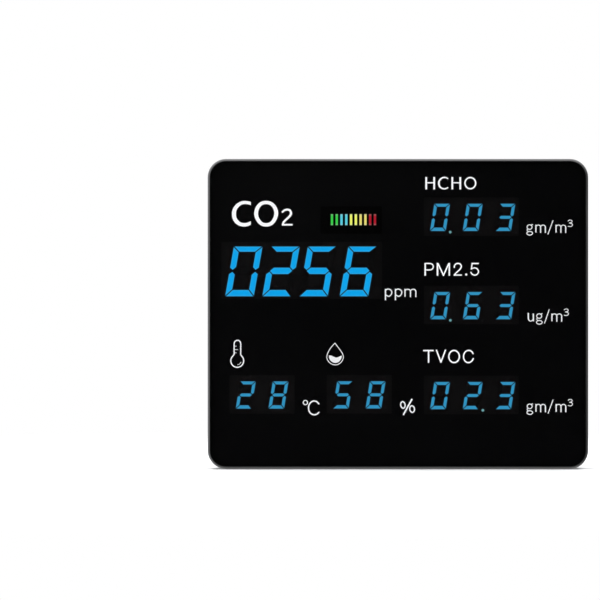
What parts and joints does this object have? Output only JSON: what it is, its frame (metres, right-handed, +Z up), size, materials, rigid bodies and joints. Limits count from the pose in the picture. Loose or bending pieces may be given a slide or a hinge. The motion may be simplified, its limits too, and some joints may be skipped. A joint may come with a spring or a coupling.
{
  "type": "air quality monitor",
  "caption": "Flat rounded-rectangle air quality monitor: metal rim, smoked front panel over segment LED displays and a colour level bar, vented rear shell, keyholes, fold-out stand",
  "frame": {"origin": "middle of the footprint on the surface the monitor stands on", "axes": "+Z up, the display faces -Y, +X to the right seen from the front"},
  "size_m": [0.27, 0.03, 0.22],
  "materials": {
    "bezel_metal": "satin",
    "smoked_panel": "polished",
    "printed_film": "screen printed",
    "adhesive": "matte",
    "black_plastic": "fine moulded texture",
    "module_plastic": "matte",
    "led_segment": "diffused epoxy",
    "level_bar_light": "diffused epoxy",
    "tinned_metal": "bright",
    "circuit_board": "solder resist",
    "screw_steel": "zinc plated",
    "chip_black": "matte",
    "capacitor_can": "satin",
    "sensor_gold": "plated",
    "white_membrane": "porous",
    "sensor_white": "matte",
    "sensor_can": "tinned sheet",
    "gauze": "woven",
    "foam": "closed cell",
    "laser_brass": "turned",
    "wire": "insulated",
    "button_plastic": "satin",
    "shell_plastic": "fine moulded texture",
    "pad_rubber": "matte"
  },
  "bodies": {
    "monitor": {"alarm_buzzer": "chip_black", "base_pads": "pad_rubber", "board_capacitors": "capacitor_can", "board_screws": "screw_steel", "cable_connectors": "sensor_white", "co2_display_housing": "module_plastic", "co2_display_segments": "led_segment", "co2_sensor_cavity": "sensor_gold", "co2_sensor_filters": "white_membrane", "display_driver_chips": "chip_black", "display_pins": "tinned_metal", "display_tray": "black_plastic", "front_panel": "smoked_panel", "hcho_display_housing": "module_plastic", "hcho_display_segments": "led_segment", "hcho_sensor_cell": "sensor_white", "hcho_sensor_membrane": "white_membrane", "humidity_display_housing": "module_plastic", "humidity_display_segments": "led_segment", "level_bar_housing": "module_plastic", "level_bar_segments": "level_bar_light", "main_board": "circuit_board", "microcontroller": "chip_black", "panel_adhesive_frame": "adhesive", "particle_fan_motor": "sensor_can", "particle_sensor_case": "sensor_can", "particle_sensor_foam_pad": "foam", "particle_sensor_laser": "laser_brass", "particle_sensor_lid": "sensor_can", "particle_sensor_optics_block": "black_plastic", "pm_display_housing": "module_plastic", "pm_display_segments": "led_segment", "power_inductor": "chip_black", "power_socket_housing": "black_plastic", "power_socket_pin": "tinned_metal", "power_switch_body": "black_plastic", "printed_mask_film": "printed_film", "rear_shell": "shell_plastic", "sensor_cable": "wire", "sensor_carrier_boards": "circuit_board", "sensor_header_pins": "tinned_metal", "shell_screws": "screw_steel", "stand_hinge_pin": "screw_steel", "tactile_switch_bodies": "black_plastic", "temperature_display_housing": "module_plastic", "temperature_display_segments": "led_segment", "temperature_humidity_sensor": "sensor_white", "trim_bezel": "bezel_metal", "tvoc_display_housing": "module_plastic", "tvoc_display_segments": "led_segment", "tvoc_sensor_can": "sensor_can", "tvoc_sensor_gauze": "gauze"},
    "fan": {"particle_fan_impeller": "black_plastic"},
    "set_key": {"set_button": "button_plastic"},
    "up_key": {"up_button": "button_plastic"},
    "down_key": {"down_button": "button_plastic"},
    "power_slider": {"power_switch_slider": "button_plastic"},
    "stand": {"stand_leg": "shell_plastic", "stand_foot_pad": "pad_rubber"}
  },
  "joints": [
    {"name": "particle_fan_spin", "type": "hinge", "parent": "monitor", "child": "fan", "pos_m": [0.1085, 0.006, 0.157], "axis": [0, 1, 0], "continuous": true},
    {"name": "set_button_press", "type": "slide", "parent": "monitor", "child": "set_key", "axis": [-1, 0, 0], "range_m": [0, 0.0005]},
    {"name": "up_button_press", "type": "slide", "parent": "monitor", "child": "up_key", "axis": [-1, 0, 0], "range_m": [0, 0.0005]},
    {"name": "down_button_press", "type": "slide", "parent": "monitor", "child": "down_key", "axis": [-1, 0, 0], "range_m": [0, 0.0005]},
    {"name": "power_switch_slide", "type": "slide", "parent": "monitor", "child": "power_slider", "axis": [0, 0, -1], "range_m": [0, 0.004]},
    {"name": "stand_swing", "type": "hinge", "parent": "monitor", "child": "stand", "pos_m": [0, 0.0117, 0.092], "axis": [1, 0, 0], "range_deg": [0, 35]}
  ]
}
